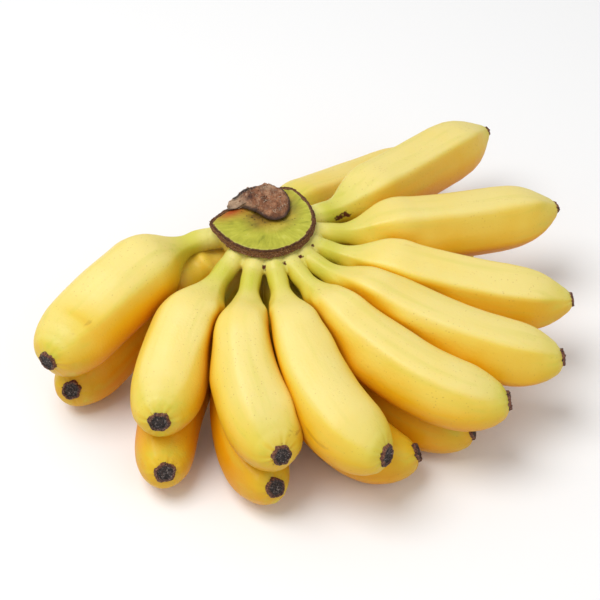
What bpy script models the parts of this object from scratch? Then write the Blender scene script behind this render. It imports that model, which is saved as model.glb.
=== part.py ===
"""A hand of small dessert bananas, lying crown up on its lower row of fingers.

Eighteen fingers in two rows grow out of one half-moon crown, and a dried bract scar lies on
the crown's cut face. Metres, +Z up. The origin ends up under the middle of the bounding box,
on the surface that the hand lies on. Bearings are degrees around +Z from +X.
"""

import math

import bpy
import numpy as np

# Crown: a half-moon plate with a rounded underside that the necks grow from
CROWN_HALF_WIDTH = 0.0215      # half the chord along the flat back edge
CROWN_FRONT = 0.0240           # from the crown's centre to its bowed front edge
CROWN_BACK = 0.0120            # from the crown's centre to its flatter back edge
CROWN_DEPTH = 0.0250           # underside below the rim
CROWN_BEARING = 305.0          # direction that the bowed front edge faces
CROWN_SQUARENESS = (2.1, 3.2)  # exponents of the outline, at the front and at the back
RIM_LEVEL = 0.0560             # height of the rim's lower edge above the table
RIM_HEIGHT = 0.0045            # corky band between the underside and the cut face
RIM_BEVEL = 0.0020

# Dried bract scar on the cut face
FLAP_HALF_WIDTH = 0.0120
FLAP_HALF_DEPTH = 0.0080
FLAP_HEIGHT = 0.0048
FLAP_EDGE = 0.0010             # thickness of its outer edge
FLAP_OFFSET = (0.0035, -0.0058)  # its centre, along the back edge and towards the front edge

# A typical finger; the rows below vary it
FINGER_REACH = 0.1100          # crown centre to blossom end, seen from above
UPPER_GIRTH = 0.0292           # widest diameter
LOWER_GIRTH = 0.0262
NECK_DIAMETER = 0.0086
NECK_LENGTH = 0.0110
SHOULDER_LENGTH = 0.0235       # over which the neck widens to the body
NOSE_LENGTH = 0.0240           # over which the body closes to the blossom end
BLOSSOM_DIAMETER = 0.0084
BLOSSOM_HEIGHT = 0.0022
BLOSSOM_CROWNING = 0.0005
NOSE_FULLNESS = (2.4, 0.62)    # exponents of the nose's rounding, along it and across it
ROOT_STIFFNESS = 0.22          # share of a finger's chord over which it keeps the root's direction
UPPER_DIP = 10.0               # where the necks leave the crown's underside, degrees below the rim
LOWER_DIP = 40.0
SKIN_GAP = 0.0005              # between two pieces that press on each other

# Upper row: root bearing, tip bearing, reach, tip height, sideways sweep, rise, girth.
# Reach and girth are shares of the typical finger; height, sweep and rise are metres.
UPPER_ROW = (
    (194, 216.0, 0.96, 0.036, -0.0020, 0.0060, 1.14),
    (239, 247.8, 0.93, 0.036, -0.0055, -0.0010, 1.05),
    (263, 274.6, 1.00, 0.036, -0.0080, -0.0020, 1.09),
    (284, 294.8, 1.09, 0.036, -0.0100, -0.0020, 1.07),
    (301, 320.8, 1.16, 0.036, -0.0135, -0.0020, 0.99),
    (318, 334.2, 1.21, 0.036, -0.0095, -0.0020, 0.94),
    (336, 348.0, 1.19, 0.038, -0.0045, -0.0030, 0.92),
    (355, 372.7, 1.20, 0.040, -0.0030, -0.0030, 0.96),
    (380, 398.9, 1.20, 0.040, 0.0000, -0.0040, 0.97),
)
# Lower row: the same without a tip height, because each of these fingers lies on the table.
LOWER_ROW = (
    (200, 216.6, 0.93, -0.0080, -0.0060, 1.08),
    (238, 250.5, 1.00, -0.0090, -0.0090, 1.00),
    (260, 274.2, 1.00, -0.0100, -0.0090, 1.02),
    (284, 304.5, 1.00, -0.0160, -0.0090, 1.04),
    (304, 317.8, 1.04, -0.0080, -0.0090, 0.98),
    (326, 338.0, 0.90, -0.0060, -0.0090, 0.96),
    (348, 358.0, 0.88, -0.0040, -0.0090, 0.96),
    (372, 378.0, 0.90, -0.0020, -0.0090, 0.98),
    (435, 409.3, 1.11, 0.0100, -0.0090, 1.04),
)

# How finely the surfaces are divided
SIDES = 14
CROWN_SIDES = 28
PATH_SAMPLES = 48
BODY_STEP = 0.0090             # longest stretch of body between two rings
NARROWEST = 0.15               # share of its round radius that a squeezed section keeps

COLOURS = {                    # sRGB, roughness
    "ripe_skin": ((0.95, 0.84, 0.42), 0.42),
    "shaded_skin": ((0.84, 0.62, 0.14), 0.45),
    "crown_flesh": ((0.66, 0.64, 0.15), 0.60),
    "dried_bract": ((0.45, 0.30, 0.24), 0.85),
}


def direction(bearing):
    angle = math.radians(bearing)
    return np.array((math.cos(angle), math.sin(angle), 0.0))


FRONT = direction(CROWN_BEARING)
ALONG = direction(CROWN_BEARING + 90.0)
UP = np.array((0.0, 0.0, 1.0))
RIM_CENTRE = UP * RIM_LEVEL


def smoothstep(share):
    share = np.clip(share, 0.0, 1.0)
    return share * share * (3.0 - 2.0 * share)


def outline_shape(front):
    """The outline's half-depth and exponent on the side that a point is on."""
    at_front = np.asarray(front) >= 0.0
    depth = np.where(at_front, CROWN_FRONT, CROWN_BACK)
    return depth, np.where(at_front, *CROWN_SQUARENESS)


def crown_level(points):
    """1 on the crown's side and underside, more outside; and its gradient."""
    local = np.atleast_2d(points) - RIM_CENTRE
    along, front = local @ ALONG, local @ FRONT
    below = np.minimum(local[:, 2], 0.0) / CROWN_DEPTH
    depth, power = outline_shape(front)
    across, deep = np.abs(along) / CROWN_HALF_WIDTH, np.abs(front) / depth
    outline = np.maximum((across**power + deep**power) ** (1.0 / power), 1e-9)
    level = np.sqrt(outline**2 + below**2)
    slope_along = np.sign(along) * (across / outline) ** (power - 1.0) / CROWN_HALF_WIDTH
    slope_front = np.sign(front) * (deep / outline) ** (power - 1.0) / depth
    slopes = np.outer(outline * slope_along, ALONG) + np.outer(outline * slope_front, FRONT)
    slopes += np.outer(below / CROWN_DEPTH, UP)
    return level, slopes / level[:, None]


def crown_outline_radius(bearing):
    turn = math.radians(bearing - CROWN_BEARING)
    depth, power = outline_shape(math.cos(turn))
    across, deep = abs(math.sin(turn)) / CROWN_HALF_WIDTH, abs(math.cos(turn)) / depth
    return float((across**power + deep**power) ** (-1.0 / power))


def neck_root(bearing, dip):
    """Where a neck leaves the crown, and the way it points there."""
    angle = math.radians(dip)
    radius = crown_outline_radius(bearing) * math.cos(angle)
    point = RIM_CENTRE + direction(bearing) * radius - UP * CROWN_DEPTH * math.sin(angle)
    slope = crown_level(point)[1][0]
    outward = slope / np.linalg.norm(slope)
    return point + outward * SKIN_GAP, outward


class Finger:
    """One banana: its curved centre line and the round radius along it."""

    def __init__(self, name, row, root_bearing, tip_bearing, reach, tip_height, sweep, rise, girth):
        self.name = name
        self.row = row
        self.root, self.outward = neck_root(root_bearing, UPPER_DIP if row == "upper" else LOWER_DIP)
        self.tip = direction(tip_bearing) * reach * FINGER_REACH + UP * tip_height
        self.sweep = sweep
        self.rise = rise
        self.width = girth * (UPPER_GIRTH if row == "upper" else LOWER_GIRTH)
        self.trace()

    def trace(self):
        """Sample the centre line evenly: a cubic from the root, through the bulge, to the tip."""
        chord = self.tip - self.root
        length = np.linalg.norm(chord)
        side = np.cross(UP, chord) / np.linalg.norm(np.cross(UP, chord))
        bulge = (self.root + self.tip) / 2 + side * self.sweep + UP * self.rise
        handle = self.root + self.outward * ROOT_STIFFNESS * length
        far_handle = (8 * bulge - self.root - self.tip - 3 * handle) / 3
        share = np.linspace(0.0, 1.0, 200)[:, None]
        line = (
            (1 - share) ** 3 * self.root
            + 3 * (1 - share) ** 2 * share * handle
            + 3 * (1 - share) * share**2 * far_handle
            + share**3 * self.tip
        )
        steps = np.linalg.norm(np.diff(line, axis=0), axis=1)
        travelled = np.concatenate(((0.0,), np.cumsum(steps)))
        self.length = travelled[-1]
        self.travelled = travelled
        self.line = line
        self.stations = np.linspace(0.0, self.length, PATH_SAMPLES)
        self.samples = self.at(self.stations)
        self.sample_radii = self.radius(self.stations)

    def at(self, distance):
        return np.stack([np.interp(distance, self.travelled, self.line[:, i]) for i in range(3)], axis=1)

    def radius(self, distance):
        """Neck, shoulder, body, nose and blossom end, one after the other."""
        neck, body, end = NECK_DIAMETER / 2, self.width / 2, BLOSSOM_DIAMETER / 2
        widened = neck + (body - neck) * smoothstep((distance - NECK_LENGTH) / SHOULDER_LENGTH)
        nose_start = self.length - NOSE_LENGTH
        nose = np.clip((distance - nose_start) / (NOSE_LENGTH - BLOSSOM_HEIGHT), 0.0, 1.0)
        along, across = NOSE_FULLNESS
        return end + (widened - end) * (1.0 - nose**along) ** across

    def ring_distances(self):
        shoulder_end = NECK_LENGTH + SHOULDER_LENGTH
        nose_start = self.length - NOSE_LENGTH
        skin_end = self.length - BLOSSOM_HEIGHT
        neck = (0.0, 0.55 * NECK_LENGTH, 1.1 * NECK_LENGTH)
        shoulder = NECK_LENGTH + SHOULDER_LENGTH * np.array((0.3, 0.5, 0.7))
        steps = math.ceil((nose_start - shoulder_end) / BODY_STEP)
        body = np.linspace(shoulder_end, nose_start, steps + 1)
        nose = nose_start + (skin_end - nose_start) * np.array((0.35, 0.62, 0.82, 0.94, 1.0))
        return np.concatenate((neck, shoulder, body, nose, (self.length,)))

    def rings(self):
        """Centre and outward directions of each ring's points, counter-clockwise from the bottom."""
        distances = self.ring_distances()
        centres = self.at(distances)
        ahead = self.at(np.minimum(distances + 0.001, self.length))
        behind = self.at(np.maximum(distances - 0.001, 0.0))
        tangents = ahead - behind
        tangents /= np.linalg.norm(tangents, axis=1)[:, None]
        tangents[0] = self.outward
        sides = np.cross(UP, tangents)
        sides /= np.linalg.norm(sides, axis=1)[:, None]
        tops = np.cross(tangents, sides)
        turns = np.arange(SIDES) * 2 * math.pi / SIDES - math.pi / 2
        spokes = (
            np.cos(turns)[None, :, None] * sides[:, None, :]
            + np.sin(turns)[None, :, None] * tops[:, None, :]
        )
        radii = np.repeat(self.radius(distances)[:, None], SIDES, axis=1)
        return centres, tangents, spokes, radii

    def depth_inside(self, points):
        """How far points are outside this finger's round skin; less than 0 inside it."""
        apart = np.linalg.norm(points[:, None, :] - self.samples[None, :, :], axis=2)
        return (apart - self.sample_radii[None, :]).min(axis=1)

    def lie_on_table(self):
        """Lift or lower the tip until the finger's lowest point touches the table."""
        for _ in range(6):
            centres, _, spokes, radii = self.rings()
            lowest = (centres[:, None, 2] + spokes[:, :, 2] * radii).min()
            self.tip = self.tip - UP * lowest
            self.trace()


def clear_share(finger, neighbours, points):
    """True where points keep the gap to the neighbours' share of the space and to the crown."""
    own = finger.depth_inside(points)
    level, slopes = crown_level(points)
    clear = (level - 1.0) / np.linalg.norm(slopes, axis=1) >= SKIN_GAP * 0.95
    for other in neighbours:
        clear &= other.depth_inside(points) - own >= SKIN_GAP
    return clear


def squeezed_rings(finger, fingers):
    """The finger's skin from pole to pole, pressed flat where a neighbour or the crown is."""
    centres, tangents, spokes, radii = finger.rings()
    reach = max(finger.sample_radii)
    neighbours = []
    for other in fingers:
        if other is not finger:
            nearest = other.depth_inside(finger.samples).min()
            if nearest < reach + SKIN_GAP:
                neighbours.append(other)
    wide = radii.ravel()
    spokes_flat = spokes.reshape(-1, 3)
    origins = np.repeat(centres, SIDES, axis=0)
    low, high = wide * NARROWEST, wide.copy()
    free = clear_share(finger, neighbours, origins + spokes_flat * high[:, None])
    for _ in range(14):
        middle = (low + high) / 2
        clear = clear_share(finger, neighbours, origins + spokes_flat * middle[:, None])
        low = np.where(clear, middle, low)
        high = np.where(clear, high, middle)
    final = np.where(free, wide, low)
    rings = (origins + spokes_flat * final[:, None]).reshape(len(centres), SIDES, 3)
    first_pole = centres[0] + tangents[0] * SKIN_GAP
    last_pole = centres[-1] + tangents[-1] * BLOSSOM_CROWNING
    return first_pole, rings, last_pole


def make_material(name):
    colour, roughness = COLOURS[name]
    material = bpy.data.materials.new(name)
    material.use_nodes = True
    shader = material.node_tree.nodes["Principled BSDF"]
    linear = [channel**2.2 for channel in colour]
    shader.inputs["Base Color"].default_value = (*linear, 1.0)
    shader.inputs["Roughness"].default_value = roughness
    shader.inputs["Metallic"].default_value = 0.0
    material.diffuse_color = (*linear, 1.0)
    return material


def loft(name, first_pole, rings, last_pole, material, place):
    """A closed skin over rings of equal size, from one pole to the other, faces outwards."""
    sides = len(rings[0])
    points = [first_pole, *[point for ring in rings for point in ring], last_pole]
    faces = []
    for side in range(sides):
        following = (side + 1) % sides
        faces.append((0, 1 + following, 1 + side))
        for ring in range(len(rings) - 1):
            here, there = 1 + ring * sides, 1 + (ring + 1) * sides
            faces.append((here + side, here + following, there + following, there + side))
        top = 1 + (len(rings) - 1) * sides
        faces.append((top + side, top + following, len(points) - 1))
    mesh = bpy.data.meshes.new(name)
    mesh.from_pydata([tuple(point - place) for point in points], [], faces)
    mesh.shade_smooth()
    mesh.materials.append(material)
    piece = bpy.data.objects.new(name, mesh)
    piece.location = place
    bpy.context.scene.collection.objects.link(piece)
    return piece


def half_moon(scale, height, sides=CROWN_SIDES):
    """One level outline of the crown, counter-clockwise."""
    ring = []
    for side in range(sides):
        bearing = CROWN_BEARING + 360.0 * side / sides
        ring.append(RIM_CENTRE + direction(bearing) * crown_outline_radius(bearing) * scale + UP * height)
    return ring


def make_crown(material):
    """Rounded underside, corky band and flat cut face, from the bottom up."""
    dips = np.radians((78, 62, 46, 30, 15))
    rings = [half_moon(math.cos(dip), -CROWN_DEPTH * math.sin(dip)) for dip in dips]
    face_share = 1.0 - RIM_BEVEL / CROWN_HALF_WIDTH
    rings.append(half_moon(1.0, 0.0))
    rings.append(half_moon(1.0, RIM_HEIGHT - RIM_BEVEL))
    rings.append(half_moon(face_share, RIM_HEIGHT))
    bottom = RIM_CENTRE - UP * CROWN_DEPTH
    top = RIM_CENTRE + UP * RIM_HEIGHT
    return loft("crown", bottom, rings, top, material, RIM_CENTRE)


def make_flap(material):
    """A low dome on the cut face, close to the crown's back edge."""
    face = RIM_CENTRE + UP * (RIM_HEIGHT + SKIN_GAP)
    centre = face + ALONG * FLAP_OFFSET[0] + FRONT * FLAP_OFFSET[1]
    profile = [(0.88, 0.0), (1.0, 0.4 * FLAP_EDGE), (0.98, FLAP_EDGE)]
    for rise in np.radians((28, 52, 72)):
        height = FLAP_EDGE + (FLAP_HEIGHT - FLAP_EDGE) * math.sin(rise)
        profile.append((math.cos(rise), height))
    rings = []
    for scale, height in profile:
        ring = []
        for side in range(CROWN_SIDES):
            turn = 2 * math.pi * side / CROWN_SIDES
            offset = FRONT * FLAP_HALF_DEPTH * math.cos(turn) + ALONG * FLAP_HALF_WIDTH * math.sin(turn)
            ring.append(centre + offset * scale + UP * height)
        rings.append(ring)
    return loft("dried_flap", centre, rings, centre + UP * FLAP_HEIGHT, material, centre)


def grow_fingers():
    fingers = []
    for number, (root, tip, reach, height, sweep, rise, girth) in enumerate(UPPER_ROW, 1):
        name = f"finger_upper_{number}"
        fingers.append(Finger(name, "upper", root, tip, reach, height, sweep, rise, girth))
    for number, (root, tip, reach, sweep, rise, girth) in enumerate(LOWER_ROW, 1):
        name = f"finger_lower_{number}"
        finger = Finger(name, "lower", root, tip, reach, BLOSSOM_DIAMETER, sweep, rise, girth)
        finger.lie_on_table()
        fingers.append(finger)
    return fingers


def stand_on_origin(pieces):
    """Move every piece so that the origin is under the middle of their bounding box."""
    corners = []
    for piece in pieces:
        for vertex in piece.data.vertices:
            corners.append(np.array(piece.location) + np.array(vertex.co))
    low, high = np.min(corners, axis=0), np.max(corners, axis=0)
    shift = np.array((-(low[0] + high[0]) / 2, -(low[1] + high[1]) / 2, -low[2]))
    for piece in pieces:
        piece.location = np.array(piece.location) + shift


def main():
    for piece in list(bpy.data.objects):
        bpy.data.objects.remove(piece)
    materials = {name: make_material(name) for name in COLOURS}
    skins = {"upper": materials["ripe_skin"], "lower": materials["shaded_skin"]}
    pieces = [make_crown(materials["crown_flesh"]), make_flap(materials["dried_bract"])]
    fingers = grow_fingers()
    for finger in fingers:
        first_pole, rings, last_pole = squeezed_rings(finger, fingers)
        piece = loft(finger.name, first_pole, rings, last_pole, skins[finger.row], finger.root)
        pieces.append(piece)
    stand_on_origin(pieces)


main()
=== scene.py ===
# %% [markdown]
# # A hand of small dessert bananas
#
# A hand is one cluster of bananas as it is cut from the plant. Eighteen fingers grow in two
# rows out of one crown. The upper row lies on the lower row, and the crown's cut face looks up.
# The solid model gives the place, the bend and the girth of every finger. This lesson grows a
# fine skin over each of them, joins them to the crown, and gives each surface its finish.

# %% The fixed frame
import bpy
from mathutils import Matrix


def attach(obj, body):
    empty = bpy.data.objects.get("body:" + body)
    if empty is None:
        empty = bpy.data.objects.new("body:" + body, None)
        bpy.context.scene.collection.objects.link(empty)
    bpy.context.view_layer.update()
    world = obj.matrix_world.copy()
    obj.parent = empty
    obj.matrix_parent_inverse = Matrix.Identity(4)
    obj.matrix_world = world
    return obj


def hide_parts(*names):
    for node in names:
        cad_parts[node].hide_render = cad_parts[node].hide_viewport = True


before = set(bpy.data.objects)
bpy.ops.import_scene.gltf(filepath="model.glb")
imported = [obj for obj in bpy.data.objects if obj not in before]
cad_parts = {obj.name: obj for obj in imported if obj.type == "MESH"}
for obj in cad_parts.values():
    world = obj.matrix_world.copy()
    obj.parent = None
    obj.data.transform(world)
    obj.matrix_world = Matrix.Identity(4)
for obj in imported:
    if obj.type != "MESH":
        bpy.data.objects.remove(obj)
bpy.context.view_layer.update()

# %% [markdown]
# ## Small tools
#
# Lengths are in metres, so a millimetre gets a name. The rest are short sums that many steps
# share: unit vectors, soft steps, smooth noise, even angles and soft spots.

# %% Tools for the whole lesson
import math

import bpy
import numpy as np
from mathutils import Vector, noise

MM = 0.001
UP = np.array((0.0, 0.0, 1.0))


def unit(vectors):
    """The same vectors, one unit long."""
    length = np.linalg.norm(vectors, axis=-1, keepdims=True)
    return vectors / np.maximum(length, 1e-12)


def smoothstep(share):
    share = np.clip(share, 0.0, 1.0)
    return share * share * (3.0 - 2.0 * share)


def lumps(points, size, seed=0.0):
    """Smooth noise from -1 to 1, with lumps of the given size in metres."""
    shift = Vector((seed * 7.31, seed * 3.17, seed * 5.73))
    flat = np.reshape(points, (-1, 3)) / size
    values = [noise.noise(Vector(point) + shift) for point in flat]
    return np.reshape(values, np.shape(points)[:-1])


def even_angles(count):
    """Angles at even steps round one turn."""
    return 2 * math.pi * np.arange(count) / count


def hump(*offsets):
    """1 where every offset is nothing, and nearly 0 where any of them is 2 or more."""
    return np.exp(-sum(offset**2 for offset in offsets))


def in_scene(name, data):
    """A new object that is linked to the scene."""
    made = bpy.data.objects.new(name, data)
    bpy.context.scene.collection.objects.link(made)
    return made


# %% [markdown]
# ## One way to make every skin
#
# A banana, a crown and a scar are all closed skins. Each is made as rows of points, and every
# row is a loop. Quads join the rows, and a fan of triangles closes each end at a pole. Such a
# grid is easy to bend, and each of its points can carry a value that the finish reads later:
# how far it is along the finger, how green it is, or whether it is a scar.

# %% A closed skin from loops of points
def skin_faces(rows, columns):
    """Quads between the loops, then the two fans. Loops run anticlockwise about the way on."""
    faces = []
    for row in range(rows - 1):
        for column in range(columns):
            beside = (column + 1) % columns
            here, there = row * columns, (row + 1) * columns
            faces.append((here + column, here + beside, there + beside, there + column))
    first, last = rows * columns, rows * columns + 1
    top = (rows - 1) * columns
    for column in range(columns):
        beside = (column + 1) % columns
        faces.append((first, beside, column))
        faces.append((last, top + column, top + beside))
    return faces


def mesh_piece(name, points, faces, finish):
    """A smooth-shaded object with its place in its mesh."""
    mesh = bpy.data.meshes.new(name)
    mesh.from_pydata([tuple(point) for point in points], [], faces)
    mesh.materials.append(finish)
    mesh.polygons.foreach_set("use_smooth", [True] * len(mesh.polygons))
    mesh.update()
    return in_scene(name, mesh)


def volume(points, faces):
    """A closed skin's volume, which is more than nothing when its faces look outwards."""
    corners = np.array([(face[0], face[1], face[2], face[-1]) for face in faces])
    one, two, three, four = (points[corners[:, corner]] for corner in range(4))
    return np.sum(one * np.cross(two, three) + one * np.cross(three, four)) / 6


def skin_piece(name, loops, finish, first_pole=None, last_pole=None):
    """A closed skin that faces outwards. A pole that isn't given is the middle of its loop."""
    poles = [loop.mean(axis=0) if pole is None else pole
             for pole, loop in ((first_pole, loops[0]), (last_pole, loops[-1]))]
    points = np.concatenate((loops.reshape(-1, 3), poles))
    faces = skin_faces(*loops.shape[:2])
    if volume(points, faces) < 0:
        faces = [face[::-1] for face in faces]
    return mesh_piece(name, points, faces, finish)


def points_of(piece):
    """Every point of a piece's mesh."""
    return np.array([vertex.co for vertex in piece.data.vertices])


def result_of(host, name):
    """What a host's modifiers make, kept as a piece of its own. The host is removed."""
    bpy.context.view_layer.update()
    graph = bpy.context.evaluated_depsgraph_get()
    mesh = bpy.data.meshes.new_from_object(host.evaluated_get(graph), depsgraph=graph)
    bpy.data.objects.remove(host)
    mesh.name = name
    return in_scene(name, mesh)


def give_value(piece, name, values, kind="FLOAT"):
    """Stores one value a point, or one vector a point, for the finish to read."""
    attribute = piece.data.attributes.new(name, kind, "POINT")
    key = "vector" if kind == "FLOAT_VECTOR" else "value"
    attribute.data.foreach_set(key, np.asarray(values, np.float32).ravel())


def outward(loops):
    """Directions that point out of a skin, from its rows and columns."""
    around = np.roll(loops, -1, axis=1) - np.roll(loops, 1, axis=1)
    along = np.gradient(loops, axis=0)
    return unit(np.cross(around, along))


def widened(loops, girths):
    """Loops made wider or thinner about their own middles."""
    middles = loops.mean(axis=1, keepdims=True)
    return middles + (loops - middles) * girths[:, None, None]


def radii(loops):
    """How far each point is from the middle of its loop."""
    return np.linalg.norm(loops - loops.mean(axis=1, keepdims=True), axis=2)


# %% [markdown]
# ## Finding the loops in the solid model
#
# The solid model's mesh is loose triangles. Points at the same place are joined first. Then
# a walk starts from the pole at the neck: its neighbours are the first loop, their new
# neighbours are the next loop, and so on to the blossom end. The pole at each end is easy to
# find, because it is the only kind of point with as many neighbours as a loop has points.

# %% Loops of a solid
def joined(node):
    """The solid's points, each once, and its triangles."""
    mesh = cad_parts[node].data
    mesh.calc_loop_triangles()
    places = points_of(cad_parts[node])
    points, which = np.unique(places.round(6), axis=0, return_inverse=True)
    which = which.ravel()
    triangles = [[which[corner] for corner in face.vertices] for face in mesh.loop_triangles]
    return points, np.array(triangles)


def neighbours_of(triangles, count):
    near = [set() for _ in range(count)]
    for one, two, three in triangles:
        near[one] |= {two, three}
        near[two] |= {one, three}
        near[three] |= {one, two}
    return near


LOOP = 14                     # points in one loop of a finger's solid


def finger_loops(node, crown_place):
    """The pole at the neck, the loops in order, and the pole at the blossom end."""
    points, triangles = joined(node)
    near = neighbours_of(triangles, len(points))
    poles = [index for index, others in enumerate(near) if len(others) == LOOP]
    poles.sort(key=lambda index: np.linalg.norm(points[index] - crown_place))
    seen, level, levels = {poles[0]}, [poles[0]], []
    while True:
        level = sorted({other for index in level for other in near[index]} - seen)
        if len(level) < LOOP:
            break
        seen |= set(level)
        levels.append(points[level])
    return points[poles[0]], in_order(np.array(levels)), points[poles[-1]]


def in_order(levels):
    """Turns each loop's points to run anticlockwise from its lowest side."""
    centres = levels.mean(axis=1)
    ways = unit(np.gradient(centres, axis=0))
    sides = unit(np.cross(UP, ways))
    tops = np.cross(ways, sides)
    loops, before = [], None
    for level, centre, side, top in zip(levels, centres, sides, tops):
        arms = level - centre
        order = np.argsort(np.arctan2(arms @ top, arms @ side))
        loop, arms = level[order], unit(arms[order])
        start = np.argmax(arms @ (-top if before is None else before))
        before = arms[start]
        loops.append(np.roll(loop, -start, axis=0))
    return np.array(loops)


crown_points, crown_triangles = joined("crown")
crown_middle = crown_points.mean(axis=0)
neck, loops, tip = finger_loops("finger_upper_5", crown_middle)
print("one finger has", len(loops), "loops and is", round(np.linalg.norm(tip - neck) / MM), "mm")

# %% [markdown]
# ## The crown's own directions
#
# The crown is a half-moon that bows to one side. Its long way is `ALONG` and its bowed side
# looks to `FRONT`. Its centre is found from the reach of its solid in those two directions,
# so that the crown follows the solid model if that ever changes.

# %% Where the crown is
CROWN_BEARING = math.radians(305.0)    # anticlockwise from +X, where the bowed edge looks
FRONT = np.array((math.cos(CROWN_BEARING), math.sin(CROWN_BEARING), 0))
ALONG = np.cross(UP, FRONT)

reach_along, reach_front = crown_points @ ALONG, crown_points @ FRONT
back, bow = reach_front.min(), reach_front.max()
CROWN = ALONG * (reach_along.min() + reach_along.max()) / 2 + FRONT * (back + (bow - back) / 3)
CUT_LEVEL = crown_points[:, 2].max()
RIM_LEVEL = CUT_LEVEL - 2.0 * MM
print("crown centre", CROWN.round(4), "cut face at", round(CUT_LEVEL, 4))


def crown_spot(along, front, height):
    """A place from millimetres along and in front of the crown's centre, and a height."""
    return CROWN + ALONG * along * MM + FRONT * front * MM + UP * height


def on_crown(points):
    """How many millimetres points are along and in front of the crown's centre."""
    return (points - CROWN) @ ALONG / MM, (points - CROWN) @ FRONT / MM


# %% [markdown]
# ## Finishes: colours and nodes
#
# Each finish is a small graph of shader nodes. Colours are written as the hex values that a
# colour card shows, and one function turns them to the linear values that Blender mixes. One
# more function adds a node with its settings and its links, so that each finish reads from
# top to bottom like a recipe. Most recipes end with a few coats, each laid over the last: a
# mix node takes its share at input 0 and its two colours at inputs 6 and 7.

# %% Colours and nodes
def linear(colour):
    """A card colour such as F2D25A, turned to linear red, green, blue and alpha."""
    parts = [int(colour[at:at + 2], 16) / 255 for at in (0, 2, 4)]
    return [p / 12.92 if p <= 0.04045 else ((p + 0.055) / 1.055) ** 2.4 for p in parts] + [1.0]


def add(tree, kind, inputs=None, stops=None, **settings):
    """Adds a node. An input is a value, a card colour, a node, or one output of a node."""
    made = tree.nodes.new(kind)
    for name, value in settings.items():
        setattr(made, name, value)
    if stops:
        ramp = made.color_ramp
        for index, (place, colour) in enumerate(stops):
            stop = ramp.elements[index] if index < 2 else ramp.elements.new(place)
            stop.position = place
            stop.color = linear(colour)
    for name, value in (inputs or {}).items():
        socket = made.inputs[name]
        if isinstance(value, bpy.types.Node):
            value = next(output for output in value.outputs if output.enabled)
        if isinstance(value, bpy.types.NodeSocket):
            tree.links.new(value, socket)
        elif isinstance(value, str):
            socket.default_value = linear(value)
        else:
            socket.default_value = value
    return made


def new_finish(name, recipe):
    """A material. Its recipe adds nodes and returns what the shader's sockets are given."""
    finish = bpy.data.materials.new(name)
    finish.use_nodes = True
    tree = finish.node_tree
    tree.nodes.clear()
    shader = add(tree, "ShaderNodeBsdfPrincipled", recipe(tree))
    add(tree, "ShaderNodeOutputMaterial", {"Surface": shader})
    print("finish", name, "has", len(tree.nodes), "nodes")
    return finish


# %% [markdown]
# ## Ripe banana skin
#
# The skin of a ripe dessert banana is waxy and satin: it has a broad soft gloss and lets a
# little light in. It is never one yellow. It is deeper in some stretches and paler in others,
# faint green streaks run its length, and it stays green at the neck and round the blossom
# end. Tiny brown freckles, up to 0.7 mm across, show that it is ripe, and it has a few
# scuffs. The patterns read a vector that grew with the finger, so streaks follow its bend.

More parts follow.
